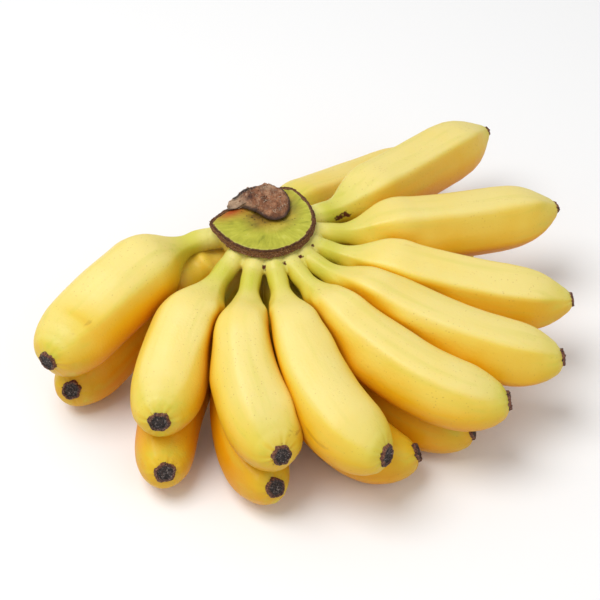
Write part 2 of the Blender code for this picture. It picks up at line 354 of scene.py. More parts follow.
# %% Ripe banana skin
def banana_skin(tree):
    grown = add(tree, "ShaderNodeAttribute", attribute_name="grown").outputs["Vector"]
    green, pale, painted_shade, scar = (
        add(tree, "ShaderNodeAttribute", attribute_name=name).outputs["Fac"]
        for name in ("green", "pale", "painted_shade", "scar"))
    along = add(tree, "ShaderNodeMapping", {"Vector": grown, "Scale": (1.0, 1.0, 0.09)})

    patches = add(tree, "ShaderNodeTexNoise", {"Vector": grown, "Scale": 42.0, "Detail": 4.0})
    # The yellow is picked by painted shade, less random patches: pale cream where the skin looks
    # up, dark ochre underneath and under other fingers.
    cloudy = add(tree, "ShaderNodeMath", {0: patches, 1: -0.36, 2: painted_shade}, operation="MULTIPLY_ADD")
    depth = add(tree, "ShaderNodeMath", {0: cloudy, 1: 0.18}, operation="ADD")
    deeper = add(tree, "ShaderNodeValToRGB", {"Fac": depth},
                 stops=((0.0, "F1DD86"), (0.28, "F2D358"), (0.60, "F0B81A"), (1.0, "E29600")))

    streaks = add(tree, "ShaderNodeTexNoise", {"Vector": along, "Scale": 230.0, "Detail": 4.0})
    streak = add(tree, "ShaderNodeMapRange",
                 {"Value": streaks, "From Min": 0.52, "From Max": 0.76, "To Max": 0.65})
    greenness = add(tree, "ShaderNodeMath", {0: green, 1: streak, 2: green},
                    operation="MULTIPLY_ADD")
    faint = add(tree, "ShaderNodeMath", {0: streak, 1: 0.42}, operation="MULTIPLY")

    dots = add(tree, "ShaderNodeTexVoronoi", {"Vector": grown, "Scale": 860.0})
    chance = add(tree, "ShaderNodeSeparateColor", {"Color": dots.outputs["Color"]})
    size = add(tree, "ShaderNodeMapRange",
               {"Value": chance.outputs["Red"], "From Min": 0.52, "From Max": 0.80,
                "To Min": 0.0, "To Max": 0.29})
    dot = add(tree, "ShaderNodeMath", {0: size, 1: dots.outputs["Distance"]}, operation="SUBTRACT")
    freckle = add(tree, "ShaderNodeMapRange",
                  {"Value": dot, "From Min": 0.0, "From Max": 0.18, "To Max": 0.40})
    cluster = add(tree, "ShaderNodeMapRange",
                  {"Value": patches, "From Min": 0.40, "From Max": 0.62,
                   "To Min": 0.25, "To Max": 1.0})
    clustered = add(tree, "ShaderNodeMath", {0: freckle, 1: cluster}, operation="MULTIPLY")

    scuffs = add(tree, "ShaderNodeTexNoise", {"Vector": along, "Scale": 95.0, "Detail": 6.0,
                                              "Roughness": 0.62, "Distortion": 0.4})
    scuff = add(tree, "ShaderNodeMapRange",
                {"Value": scuffs, "From Min": 0.665, "From Max": 0.73, "To Max": 0.55})

    crumbs = add(tree, "ShaderNodeTexNoise", {"Vector": grown, "Scale": 520.0, "Detail": 5.0})
    ragged = add(tree, "ShaderNodeMath", {0: crumbs, 1: 0.9, 2: scar}, operation="MULTIPLY_ADD")
    edge = add(tree, "ShaderNodeMapRange", {"Value": ragged, "From Min": 0.86, "From Max": 0.96})

    colour = deeper
    for share, coat in ((greenness, "C6C63C"), (faint, "CFCB4C"), (pale, "EEE48E"),
                        (clustered, "A8742C"), (scuff, "A9772C"), (edge, "5C2E16")):
        colour = add(tree, "ShaderNodeMix", {0: share, 6: colour, 7: coat}, data_type="RGBA")

    gloss = add(tree, "ShaderNodeMapRange",
                {"Value": patches, "From Min": 0.3, "From Max": 0.7,
                 "To Min": 0.36, "To Max": 0.47})
    rough = add(tree, "ShaderNodeMath", {0: edge, 1: 0.35, 2: gloss}, operation="MULTIPLY_ADD")

    grain = add(tree, "ShaderNodeTexNoise", {"Vector": grown, "Scale": 900.0, "Detail": 2.0})
    height = add(tree, "ShaderNodeMath", {0: streaks, 1: 1.4, 2: grain}, operation="MULTIPLY_ADD")
    lifted = add(tree, "ShaderNodeMath", {0: edge, 1: -1.6, 2: height}, operation="MULTIPLY_ADD")
    bump = add(tree, "ShaderNodeBump", {"Height": lifted, "Strength": 0.22, "Distance": 0.0005})
    return {"Base Color": colour, "Roughness": rough, "Normal": bump, "IOR": 1.45,
            "Specular IOR Level": 0.36, "Subsurface Weight": 0.12,
            "Subsurface Radius": (1.0, 0.6, 0.15), "Subsurface Scale": 0.002}


SKIN = new_finish("ripe_banana_skin", banana_skin)

# %% [markdown]
# ## From fourteen points to a smooth skin
#
# The solid has fourteen points in a loop and a loop every nine millimetres, which is too
# coarse to look grown. A cubic spline goes through all fourteen points and is read at 72
# places. Along the finger another spline goes through the loops and is read about every
# millimetre. A subdivision surface would do this too, but it pulls the skin in from its
# points, and a finger would come out thinner than its solid.

# %% Splines round and along
AROUND = 72                   # points in one loop of the finished skin
SKIN_STEP = 1.0 * MM          # from one loop to the next on the body
NOSE_STEP = 0.45 * MM         # and near the blossom end, where the skin turns in


def finer_round(loops, count):
    """Closed cubic splines through the points of each loop, read at even steps."""
    points = loops.shape[1]
    weight = (4 + 2 * np.cos(even_angles(points))) / 6
    pulls = np.fft.ifft(np.fft.fft(loops, axis=1) / weight[None, :, None], axis=1).real
    place = np.arange(count) * points / count
    start = np.floor(place).astype(int)
    u = place - start
    shares = ((1 - u)**3, 3 * u**3 - 6 * u**2 + 4, -3 * u**3 + 3 * u**2 + 3 * u + 1, u**3)
    total = 0.0
    for step, share in enumerate(shares):
        total = total + share[None, :, None] / 6 * pulls[:, (start + step - 1) % points]
    return total


def finer_along(loops, at, wanted):
    """Cubic curves from loop to loop. `at` says how far along each loop is."""
    slopes = np.gradient(loops, at, axis=0)
    index = np.clip(np.searchsorted(at, wanted, side="right") - 1, 0, len(at) - 2)
    gap = at[index + 1] - at[index]
    u = ((wanted - at[index]) / gap)[:, None, None]
    gap = gap[:, None, None]
    one, two = loops[index], loops[index + 1]
    lean_one, lean_two = slopes[index] * gap, slopes[index + 1] * gap
    return (one * (2 * u**3 - 3 * u**2 + 1) + lean_one * (u**3 - 2 * u**2 + u)
            + two * (3 * u**2 - 2 * u**3) + lean_two * (u**3 - u**2))


def distances(loops):
    """How far along the finger each loop's centre is."""
    steps = np.linalg.norm(np.diff(loops.mean(axis=1), axis=0), axis=1)
    return np.concatenate(([0.0], np.cumsum(steps)))


# %% [markdown]
# ## Shaping a finger
#
# A banana is not round: five soft ridges run its length, one or two of them plainer than the
# others, with flatter faces between. They start in the neck and fade round the blossom end.
# Hand-grown unevenness comes from two sizes of noise, and small pleats gather round the
# blossom end where the skin turns in. The neck is carried on into the crown, because the two
# are grown together.

# %% Ridges, unevenness and pleats
RIDGES = 5
RIDGE_HEIGHT = 1.90 * MM
RIDGE_SOFTNESS = 0.09         # of half the angle between two ridges
NECK_SINK = 5.0 * MM          # how far the neck is carried on into the crown
NOSE_LENGTH = 13 * MM         # the stretch before the blossom end that has finer loops
RIDGE_MEAN = 0.33             # taken off the ridges, so that they don't swell the finger
USUAL_RADIUS = 14 * MM        # a thinner finger has lower ridges


def ridge_lift(angle, first, weights):
    """Height of the ridges at each angle. Each has its own weight."""
    sector = 2 * math.pi / RIDGES
    turns = (angle - first) / sector
    nearest = np.round(turns)
    off = np.minimum(np.sqrt((2 * (turns - nearest))**2 + RIDGE_SOFTNESS**2), 1.0)
    flat, half = math.cos(sector / 2), sector / 2
    shape = (flat / np.cos(half * (1 - off)) - flat) / (1 - flat)
    return shape * np.asarray(weights)[nearest.astype(int) % RIDGES]


LOOK = unit(np.array((0.0, -0.7, 0.7)))
TIP_BEND = 27 * MM            # the length over which a tip turns


def turned(vectors, axis, angle):
    """Vectors turned about an axis, each row by its own angle."""
    cos, sin = np.cos(angle)[:, None], np.sin(angle)[:, None]
    if vectors.ndim == 3:
        cos, sin = cos[:, None], sin[:, None]
    along = (vectors @ axis)[..., None] * axis
    return vectors * cos + np.cross(axis, vectors) * sin + along * (1 - cos)


def turned_tip(fine, wanted, degrees):
    """Bends the end of a finger to the front and up. Also returns the way that the end looks."""
    centres = fine.mean(axis=1)
    way = unit(centres[-1] - centres[-12])
    axis = unit(np.cross(way, LOOK))
    turn = math.radians(degrees) * smoothstep((wanted - wanted[-1] + TIP_BEND) / TIP_BEND)
    arms = turned(fine - centres[:, None], axis, turn)
    steps = turned(np.diff(centres, axis=0), axis, (turn[1:] + turn[:-1]) / 2)
    bent = centres[:1] + np.concatenate((np.zeros((1, 3)), np.cumsum(steps, axis=0)))
    back = smoothstep((wanted - wanted[-1] + 1.5 * TIP_BEND) / (1.5 * TIP_BEND))[:, None]
    bent += (centres[-1] - bent[-1]) * back
    return bent[:, None] + arms, unit(steps[-1])


# Girth of a pointed nose, as a share of a blunt one's, at millimetres back from its end.
POINTED = ((0, 0.52), (2, 0.52), (5, 0.63), (9, 0.75), (14, 0.86), (20, 0.95), (28, 1.0),
           (32, 1.0))


def shaped_finger(loops, first_ridge, weights, seed, neck_girth, point):
    """The fine loops of a finger, and how far along each one is."""
    start = loops[:1] - unit(loops[1:2].mean(axis=1) - loops[:1].mean(axis=1)) * NECK_SINK
    loops = np.concatenate((start, loops[:-1]))
    at = distances(loops)
    swell = (neck_girth - 1) * smoothstep((at + 2 * MM) / (12 * MM))
    loops = widened(loops, 1 + swell * smoothstep(1 - (at - 17 * MM) / (20 * MM)))
    nose = at[-1] - NOSE_LENGTH
    wanted = np.concatenate((np.arange(0, nose, SKIN_STEP), np.arange(nose, at[-1], NOSE_STEP),
                             at[-1:]))
    fine = finer_along(finer_round(loops, AROUND), at, wanted)
    back, girths = np.array(POINTED).T
    fine = widened(fine, 1 - point * (1 - np.interp((wanted[-1] - wanted) / MM, back, girths)))
    out = outward(fine)

    angle = even_angles(AROUND)
    share = wanted / wanted[-1]
    turn = angle[None, :] + 0.10 * np.sin(2.2 * share[:, None] + seed)
    body = smoothstep((share - 0.04) / 0.26) * smoothstep((1 - share) / 0.12)
    girth = radii(fine).mean(axis=1) / USUAL_RADIUS
    lift = ridge_lift(turn, first_ridge, weights) - RIDGE_MEAN
    lift = lift * (RIDGE_HEIGHT * girth * (0.22 + 0.78 * body))[:, None]
    uneven = 0.22 * lumps(fine, 22 * MM, seed) + 0.07 * lumps(fine, 7 * MM, seed)
    lift += uneven * MM * body[:, None]
    pleats = np.sin(11 * angle + seed * 3) + 0.6 * np.sin(17 * angle + seed)
    near_tip = np.exp(-(wanted[-1] - wanted) / (2.4 * MM))
    lift += 0.10 * MM * pleats[None, :] * near_tip[:, None]
    return fine + out * lift[:, :, None], wanted


# %% [markdown]
# ## Growing all eighteen
#
# The first ridge's place and the ridges' weights change a little from finger to finger, and a
# table says how each finger bends and tapers. The skins carry five values. `grown` is a
# straightened-out place, in metres, that the patterns read. `green`, `pale` and `scar` say how
# much of each there is at a point. The fifth is painted shade: more of it where the skin looks
# down or lies under the fingers above.

# %% The fingers' skins
fingers = {}


def root_values(points):
    """How green and how pale the flesh near the crown is. Necks and crown share it: no seam."""
    far = np.linalg.norm(points - CROWN - UP * 50 * MM, axis=-1) / MM
    patchy = 0.85 + 0.35 * lumps(points, 11 * MM, 3)
    green = 0.80 * hump(np.maximum(far - 30, 0) / 15.0) * patchy
    pale = 0.50 * smoothstep((30.5 - far) / 7.0) * (1.0 + 0.6 * lumps(points, 4 * MM, 5))
    return np.clip(green - 0.35 * pale, 0, 1), np.clip(pale, 0, 1)


def painted_shade_by_facing(normals):
    """Painted shade: skin is painted palest where it looks up and darkest ochre where it looks
    down, as light falls on it.
    """
    return np.interp(normals[..., 2], (-0.4, 0.0, 0.35, 0.7, 1.0), (1.0, 0.80, 0.46, 0.14, 0.0))


def with_poles(grid):
    """The values of all the loops' points, then a value for each pole."""
    return np.concatenate((grid.reshape(-1, *grid.shape[2:]), [grid[0, 0]], [grid[-1, 0]]))


def finger_values(piece, fine, wanted, shaded, seed, root_share, scar):
    """Stores the values that the skin's finish reads."""
    arms, angle = radii(fine), even_angles(AROUND)
    grown = np.stack((arms * np.cos(angle), arms * np.sin(angle),
                      np.repeat(wanted[:, None], AROUND, axis=1)), axis=2)
    grown += np.array((0.11, 0.07, 0.31)) * seed
    from_tip = (wanted[-1] - wanted) / MM
    green, pale = (root_share * values for values in root_values(fine))
    near_tip = 0.50 * np.exp(-(from_tip / 9.0)**1.5)[:, None]
    near_tip = near_tip * (0.75 + 0.5 * lumps(fine, 9 * MM, seed))
    green = np.clip(green + near_tip, 0, 1)
    # Painted shade: more where the skin looks down, and more on fingers that lie under others.
    painted_shade = np.clip(painted_shade_by_facing(outward(fine)) + shaded, 0, 1)
    give_value(piece, "grown", with_poles(grown), "FLOAT_VECTOR")
    for key, values in (("green", green), ("pale", pale), ("painted_shade", painted_shade), ("scar", scar)):
        give_value(piece, key, with_poles(values))


# For each finger, upper row then lower row: the degrees that its tip turns up, how pointed its
# nose is, how plain its ridges are, and how much painted shade its skin gets from the fingers
# above.
HABITS = ((54, 0.10, 0.50, 0.0), (22, 0.12, 0.55, 0.0), (18, 0.12, 0.60, 0.0),
          (14, 0.15, 0.55, 0.0), (13, 0.28, 0.80, 0.0), (9, 0.34, 1.20, 0.0),
          (2, 0.72, 1.25, 0.0), (0, 0.80, 1.30, 0.0), (0, 0.95, 1.30, 0.0),
          (27, 0.2, 0.6, 0.44), (14, 0.15, 0.6, 0.60), (14, 0.15, 0.7, 0.58),
          (10, 0.3, 0.9, 0.48), (4, 0.4, 0.9, 0.42), (0, 0.6, 1.0, 0.42),
          (0, 0.6, 1.0, 0.42), (0, 0.6, 1.0, 0.42), (0, 0.6, 1.0, 0.10))
# A few tips lie a little off their solids: millimetres to the right, back and up.
NUDGES = {"finger_upper_9": (2.2, 0.0, 0.0), "finger_upper_8": (1.5, 0.0, 0.0),
          "finger_upper_7": (2.2, 0.0, 0.0), "finger_upper_6": (2.7, 0.0, 0.0),
          "finger_upper_3": (1.6, 0.0, 0.0), "finger_upper_2": (1.0, 0.0, 0.6),
          "finger_lower_4": (1.4, 0.0, 0.0), "finger_lower_5": (2.0, -1.2, -0.8),
          "finger_lower_1": (4.2, 0.6, 1.2), "finger_lower_2": (1.2, 0.8, 0.6)}
NECK_GIRTHS = {"finger_lower_1": 2.4, "finger_lower_2": 1.5, "finger_upper_1": 1.12,
               "finger_upper_2": 1.08, "finger_upper_8": 1.10, "finger_upper_9": 1.30}
NECK_LIFTS = {"finger_lower_1": 4.0 * MM}
ROOT_SHARES = {"finger_lower_1": 0.3}    # this one keeps less of the crown's green
# One finger has a dark scab low on its flank: how far along it is, which way round, its size.
SCARRED = "finger_upper_9"
SCAR_AT, SCAR_ROUND = 17 * MM, math.radians(255)
SCAR_LONG, SCAR_WIDE = 5.4 * MM, 2.5 * MM
FLOOR_GAP = 0.05 * MM
names = [f"finger_{row}_{number}" for row in ("upper", "lower") for number in range(1, 10)]
for order, name in enumerate(names):
    seed = 1.0 + 0.37 * order
    _, loops, _ = finger_loops(name, crown_middle)
    first_ridge = math.radians(208.0 + 8.0 * math.sin(order * 2.4))
    tip_turn, point, plain, shaded = HABITS[order]
    weights = 0.55 + 0.35 * np.sin(np.arange(RIDGES) * 1.9 + order)
    weights[0] = 1.15
    neck_girth = NECK_GIRTHS.get(name, 1.35 if "lower" in name else 1.0)
    fine, wanted = shaped_finger(loops, first_ridge, weights * plain, seed, neck_girth, point)
    raised = smoothstep((wanted - 4 * MM) / (10 * MM)) * smoothstep((46 * MM - wanted) / (20 * MM))
    fine[:, :, 2] += NECK_LIFTS.get(name, 0.0) * raised[:, None]
    fine, facing = turned_tip(fine, wanted, tip_turn)
    nudge = np.array(NUDGES.get(name, (0.0, 0.0, 0.0))) * MM
    fine += nudge * smoothstep((wanted - 0.35 * wanted[-1]) / (0.65 * wanted[-1]))[:, None, None]
    for _ in range(3):
        sunk = min(fine[:, :, 2].min() - FLOOR_GAP, 0.0)
        rise = smoothstep((wanted - 0.2 * wanted[-1]) / (0.5 * wanted[-1]))
        fine[:, :, 2] -= sunk * rise[:, None]
    scar = np.repeat(0.34 * np.exp(-(wanted[-1] - wanted) / (1.2 * MM))[:, None], AROUND, axis=1)
    if name == SCARRED:
        round_it = radii(fine) * (even_angles(AROUND) - SCAR_ROUND)
        spot = hump((wanted[:, None] - SCAR_AT) / SCAR_LONG, round_it / SCAR_WIDE)
        scar = np.maximum(scar, 0.66 * spot)
    piece = skin_piece(name.replace("finger", "skin"), fine, SKIN)
    finger_values(piece, fine, wanted, shaded, seed, ROOT_SHARES.get(name, 1.0), scar)
    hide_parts(name)
    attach(piece, "root")
    fingers[name] = {"loops": loops, "fine": fine, "facing": facing}
print(len(fingers), "skins,", sum(len(f["fine"]) for f in fingers.values()) * AROUND, "points")

# %% [markdown]
# ## Dry blossom ends
#
# Each finger ends where its flower withered and broke away. What stays is a short stub of
# dead tissue, blackish brown, five or six-sided, with a raised ring and a rough, crumbly
# middle. It is a small closed skin with a folded profile: up the side, over the ring, down
# into the hollow and up a little in the middle. Noise then makes it uneven.

# %% Withered tissue
def withered(tree):
    place = add(tree, "ShaderNodeTexCoord").outputs["Object"]
    rim = add(tree, "ShaderNodeAttribute", attribute_name="rim").outputs["Fac"]
    crumbs = add(tree, "ShaderNodeTexNoise", {"Vector": place, "Scale": 1400.0, "Detail": 5.0,
                                              "Roughness": 0.65})
    dust = add(tree, "ShaderNodeTexNoise", {"Vector": place, "Scale": 2600.0, "Detail": 3.0})
    # The middle's palest stop makes pale grey flecks: dry crumbs, with painted glints on them.
    middle = add(tree, "ShaderNodeValToRGB", {"Fac": crumbs},
                 stops=((0.34, "110D0C"), (0.48, "2B2220"), (0.58, "4E4441"), (0.68, "A39B95")))
    ring = add(tree, "ShaderNodeValToRGB", {"Fac": crumbs},
               stops=((0.32, "2A120A"), (0.48, "66382A"), (0.64, "9A6C4A")))
    colour = add(tree, "ShaderNodeMix", {0: rim, 6: middle, 7: ring}, data_type="RGBA")
    height = add(tree, "ShaderNodeMath", {0: dust, 1: 0.5, 2: crumbs}, operation="MULTIPLY_ADD")
    bump = add(tree, "ShaderNodeBump", {"Height": height, "Strength": 0.8, "Distance": 0.0004})
    shine = add(tree, "ShaderNodeMapRange", {"Value": crumbs, "To Min": 0.55, "To Max": 0.95})
    return {"Base Color": colour, "Roughness": shine, "Normal": bump}


WITHERED = new_finish("withered_blossom_tissue", withered)

# %% A folded stub on every tip
STUB_COLUMNS = 60
STUB_FOOT, STUB_TOP = 0.9, 1.30    # millimetres below and above the tip, for the two poles
USUAL_EDGE = 4.2 * MM              # a finger with a smaller edge has a lower stub
# (share of the stub's radius, height in millimetres, how much of it is ring)
STUB_PROFILE = ((1.05, -0.9, 1.0), (1.06, -0.2, 1.0), (1.04, 0.4, 1.0), (1.01, 0.9, 0.9),
                (0.97, 1.3, 0.8), (0.91, 1.5, 0.6), (0.84, 1.45, 0.5), (0.77, 1.2, 0.3),
                (0.70, 0.95, 0.1), (0.62, 0.85, 0.0), (0.53, 0.9, 0.0), (0.44, 1.0, 0.0),
                (0.36, 1.1, 0.1), (0.27, 1.05, 0.0), (0.17, 1.0, 0.0), (0.08, 1.05, 0.0))


def blossom_end(name, finger, seed):
    """A stub that stands on a finger's last loop and looks the way that the tip does."""
    edge = finger["fine"][-1]
    centre = edge.mean(axis=0)
    way = finger["facing"]
    side = unit(np.cross(UP, way))
    top = np.cross(way, side)
    radius = np.linalg.norm(edge - centre, axis=1).mean()
    angle = even_angles(STUB_COLUMNS) - math.pi / 2
    sides = 5 + int(seed * 10) % 2
    outline = 1.0 + 0.055 * np.cos(sides * angle + seed) + 0.05 * np.cos(2 * angle + seed * 5)
    spoke = np.cos(angle)[:, None] * side + np.sin(angle)[:, None] * top
    profile = np.array(STUB_PROFILE)
    steps = np.linspace(0, len(profile) - 1, 2 * len(profile) - 1)
    profile = np.stack([np.interp(steps, np.arange(len(profile)), values)
                        for values in profile.T], axis=1)
    size = MM * min(1.0, radius / USUAL_EDGE)
    loops = np.array([centre + spoke * (outline * radius * share)[:, None] + way * height * size
                      for share, height, _ in profile])
    rough = 0.38 * lumps(loops, 2.0 * MM, seed) + 0.34 * lumps(loops, 0.8 * MM, seed + 9)
    loops += outward(loops) * (rough * size * 0.85)[:, :, None]
    piece = skin_piece(name, loops, WITHERED,
                       centre - way * STUB_FOOT * size, centre + way * STUB_TOP * size)
    rim = np.repeat(profile[:, 2], STUB_COLUMNS)
    give_value(piece, "rim", np.concatenate((rim, [1.0, 0.0])))
    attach(piece, "root")
    return piece


stubs = [blossom_end(name.replace("finger", "blossom_end"), finger, 0.9 + 0.41 * order)
         for order, (name, finger) in enumerate(fingers.items())]
print(len(stubs), "blossom ends,", len(stubs[0].data.polygons), "faces each")

# %% [markdown]
# ## The crown that the necks grow out of
#
# The necks are not stuck on: their flesh runs into the crown with soft webs between them.
# Modelling that by hand would need a joint for every pair of necks. A voxel remesh does it in
# one go: the crown's solid and eighteen short flared stubs are put in one mesh, which is
# remade as one skin, and smoothing then turns every inner corner into a web.

# %% Flared stubs and one remesh
STUB_REACH = 15 * MM          # how far a stub follows its neck
STUB_SINK = 8 * MM            # how far it starts inside the crown
FLARE = 0.12                  # how much wider a neck is where it meets the crown
VOXEL = 0.6 * MM
FLESH_INSET = 2.4 * MM        # the stubs stand out from the crown by this much


def neck_stub(finger):
    """Loops of a neck that is flared at the crown and slips inside the finger's skin."""
    loops = finer_round(finger["loops"][:6], 24)
    at = distances(loops)
    wanted = np.arange(0, STUB_REACH, 1.0 * MM)
    sunk = np.arange(STUB_SINK, 0, -1.0 * MM)
    stub = finer_along(loops, at, wanted)
    way = unit(stub[1].mean(axis=0) - stub[0].mean(axis=0))
    stub = np.concatenate(([stub[0] - way * depth for depth in sunk], stub))
    past = np.concatenate((-sunk, wanted))
    flare = 1 + FLARE * np.exp(-np.maximum(past, 0) / (2.6 * MM))
    girths = flare - 0.10 * smoothstep(past / (7 * MM))
    return widened(stub, girths * (1 - 0.35 * smoothstep((past - 9 * MM) / (6 * MM))))


def grown_crown():
    """The crown's solid and all the stubs, remade as one skin."""
    solid = crown_points * 1.0
    solid[:, 2] = np.minimum(solid[:, 2], RIM_LEVEL)
    spread = (solid - CROWN) * (1.0, 1.0, 0.0)
    inset = np.minimum(np.linalg.norm(spread, axis=1), FLESH_INSET)
    points, faces = [solid - unit(spread + 1e-9) * inset[:, None]], crown_triangles.tolist()
    count = len(crown_points)
    for finger in fingers.values():
        stub = neck_stub(finger)
        rows, columns = stub.shape[:2]
        faces += [[index + count for index in face] for face in skin_faces(rows, columns)]
        points += [stub.reshape(-1, 3), stub[0].mean(axis=0)[None], stub[-1].mean(axis=0)[None]]
        count += rows * columns + 2
    rough = mesh_piece("crown_flesh_rough", np.concatenate(points), faces, SKIN)
    remesh = rough.modifiers.new("one skin", "REMESH")
    remesh.mode = "VOXEL"
    remesh.voxel_size = VOXEL
    remesh.use_smooth_shade = True
    soften = rough.modifiers.new("webs", "SMOOTH")
    soften.factor = 0.5
    soften.iterations = 3
    piece = result_of(rough, "crown_flesh")
    piece.data.materials.clear()
    piece.data.materials.append(SKIN)
    return piece


flesh = grown_crown()
print("crown flesh has", len(flesh.data.polygons), "faces")

# %% [markdown]
# ## Marks on the crown's flesh
#
# Under the rim the flesh is creamy and pale green. In four of the clefts between two necks a
# small brown scar shows where the tissue tore a little. The clefts are found from the necks
# themselves, half way between one and the next.

# %% Values for the crown's flesh
CLEFT_RISES = {3: 2.2, 4: 3.6, 5: 3.6, 6: 3.6}    # millimetres up from the necks' own ends
places = points_of(flesh)
normals = np.array([vertex.normal for vertex in flesh.data.vertices])
scar = np.zeros(len(places))
for number, rise in CLEFT_RISES.items():
    one, two = (fingers[f"finger_upper_{neck}"]["loops"][0].mean(axis=0)
                for neck in (number, number + 1))
    between = (one + two) / 2
    cleft = between + unit(between - CROWN - UP * one[2]) * 2.0 * MM + UP * rise * MM
    scar = np.maximum(scar, 0.58 * hump(np.linalg.norm(places - cleft, axis=1) / (1.7 * MM)))
green, pale = root_values(places)
give_value(flesh, "grown", places - CROWN, "FLOAT_VECTOR")
# The crown's flesh gets the same painted shade, by the way that it looks.
for key, values in (("green", green), ("pale", pale), ("painted_shade", painted_shade_by_facing(normals)),
                    ("scar", scar)):
    give_value(flesh, key, values)
print("greenest crown flesh", round(green.max(), 2), "palest", round(pale.max(), 2))
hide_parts("crown")
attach(flesh, "root")

# %% [markdown]
# ## The cut face
#
# A knife went through the crown, and the cut has dried a little. Its flesh is bright green
# towards the bowed edge, with fibres that run outwards. Towards the dried scale a painted shade
# turns it dull olive, gold-brown in a halo along the scale's front edge, and dark specks gather
# there. One corner has turned orange red. The face is a disc of loops that shrink to a pole,
# dished by less than a millimetre, with the fibres raised from it.

# %% The crown's outline
RIM_COLUMNS = 288
RIM_INSET = 1.1 * MM          # the cork's thickness lies mostly inside the solid's outline
CORNER_PULL = 1.4 * MM        # how far the left corner behind is drawn out


def crown_outline():
    """The rim's outline, smoothed, and the way out of it at each point."""
    rim = crown_points[np.abs(crown_points[:, 2] - RIM_LEVEL) < 0.3 * MM] - CROWN
    rim[:, 2] = 0.0
    rim = rim[np.argsort(np.arctan2(rim @ FRONT, rim @ ALONG))]
    outline = finer_round(rim[None], RIM_COLUMNS)[0]
    corner = crown_spot(-21.0, -9.0, 0.0) - CROWN
    pull = hump(np.linalg.norm(outline - corner, axis=1) / (5.0 * MM))
    outline = outline + unit(corner) * (pull * CORNER_PULL)[:, None]
    ahead = np.roll(outline, -1, axis=0) - np.roll(outline, 1, axis=0)
    out = unit(np.cross(ahead, UP))
    out *= np.sign(np.sum(out * outline))
    return CROWN + outline - out * RIM_INSET, out


outline, away = crown_outline()
print("rim is", round(np.ptp(outline @ ALONG) / MM, 1), "mm long")


# %% Cut crown flesh
def cut_flesh(tree):
    spokes = add(tree, "ShaderNodeAttribute", attribute_name="spokes").outputs["Vector"]
    place = add(tree, "ShaderNodeTexCoord").outputs["Object"]
    shade, blush, edge, outer = (
        add(tree, "ShaderNodeAttribute", attribute_name=name).outputs["Fac"]
        for name in ("shade", "blush", "edge", "outer"))

    fibres = add(tree, "ShaderNodeTexNoise", {"Vector": spokes, "Scale": 1.0, "Detail": 5.0,
                                              "Roughness": 0.6})
    clouds = add(tree, "ShaderNodeTexNoise", {"Vector": place, "Scale": 160.0, "Detail": 3.0})
    either = add(tree, "ShaderNodeMix", {"Factor": outer, "A": clouds, "B": fibres})
    green = add(tree, "ShaderNodeValToRGB", {"Fac": either},
                stops=((0.29, "7E831A"), (0.42, "ACAB2C"), (0.58, "BEBC3C"), (0.72, "D0CE5E")))
    # Painted shade: olive and gold-brown where the dried scale shades the face.
    olive = add(tree, "ShaderNodeValToRGB", {"Fac": clouds},
                stops=((0.35, "74561A"), (0.52, "A0801E"), (0.70, "B89F30")))
    cloudy = add(tree, "ShaderNodeMath", {0: clouds, 1: 0.5, 2: shade}, operation="MULTIPLY_ADD")
    shaded = add(tree, "ShaderNodeMapRange", {"Value": cloudy, "From Min": 0.45, "From Max": 1.05})

    dots = add(tree, "ShaderNodeTexVoronoi", {"Vector": place, "Scale": 900.0})
    chance = add(tree, "ShaderNodeSeparateColor", {"Color": dots.outputs["Color"]})
    more = add(tree, "ShaderNodeMath", {0: shade, 1: 0.45, 2: chance.outputs["Red"]},
               operation="MULTIPLY_ADD")
    size = add(tree, "ShaderNodeMapRange",
               {"Value": more, "From Min": 0.82, "From Max": 1.3, "To Max": 0.42})
    dot = add(tree, "ShaderNodeMath", {0: size, 1: dots.outputs["Distance"]}, operation="SUBTRACT")
    speck = add(tree, "ShaderNodeMapRange",
                {"Value": dot, "From Min": 0.0, "From Max": 0.10, "To Max": 0.85})
    colour = green
    for share, coat in ((shaded, olive), (blush, "B04A12"), (edge, "D9CF7E"), (speck, "3C2A0C")):
        colour = add(tree, "ShaderNodeMix", {0: share, 6: colour, 7: coat}, data_type="RGBA")

    bump = add(tree, "ShaderNodeBump", {"Height": fibres, "Strength": 0.25, "Distance": 0.0004})
    return {"Base Color": colour, "Roughness": 0.50, "Normal": bump, "Subsurface Weight": 0.15,
            "Subsurface Radius": (1.0, 0.8, 0.2), "Subsurface Scale": 0.0015}


CUT_FLESH = new_finish("cut_crown_flesh", cut_flesh)

# %% The dished face
FACE_ROWS = 70
FACE_INSET = 0.55 * MM        # how far inside the rim's outline the face ends
FACE_DEPTH = 1.5 * MM         # how far the skin goes down under the face
DISH = 0.9 * MM
face_centre = crown_spot(2.0, 4.0, CUT_LEVEL)
shares = np.linspace(0, 1, FACE_ROWS + 1)[:-1]
edge_loop = outline - away * FACE_INSET
edge_loop[:, 2] = CUT_LEVEL
face = np.array([edge_loop * (1 - share) + face_centre * share for share in shares])
inward = (1 - (1 - shares)**2)[:, None]
rim_angle = np.linspace(0, 2 * math.pi, RIM_COLUMNS, endpoint=False)
circle = np.stack((np.cos(rim_angle), np.sin(rim_angle), np.zeros(RIM_COLUMNS)), axis=1)
raised = smoothstep(shares / 0.1) * smoothstep((1 - shares) / 0.5)
fibre = 0.08 * MM * lumps(circle, 0.035, 8)[None, :] * raised[:, None]
wave = 0.35 * MM * lumps(face, 9 * MM, 2) + 0.10 * MM * lumps(face, 2.5 * MM, 4)
face[:, :, 2] += -DISH * inward + fibre + wave
cut_face = skin_piece("crown_cut_face", np.concatenate(([edge_loop - UP * FACE_DEPTH], face)),
                      CUT_FLESH, face_centre - UP * FACE_DEPTH)
print("cut face is dished by", round((CUT_LEVEL - face[..., 2].min()) / MM, 2), "mm")

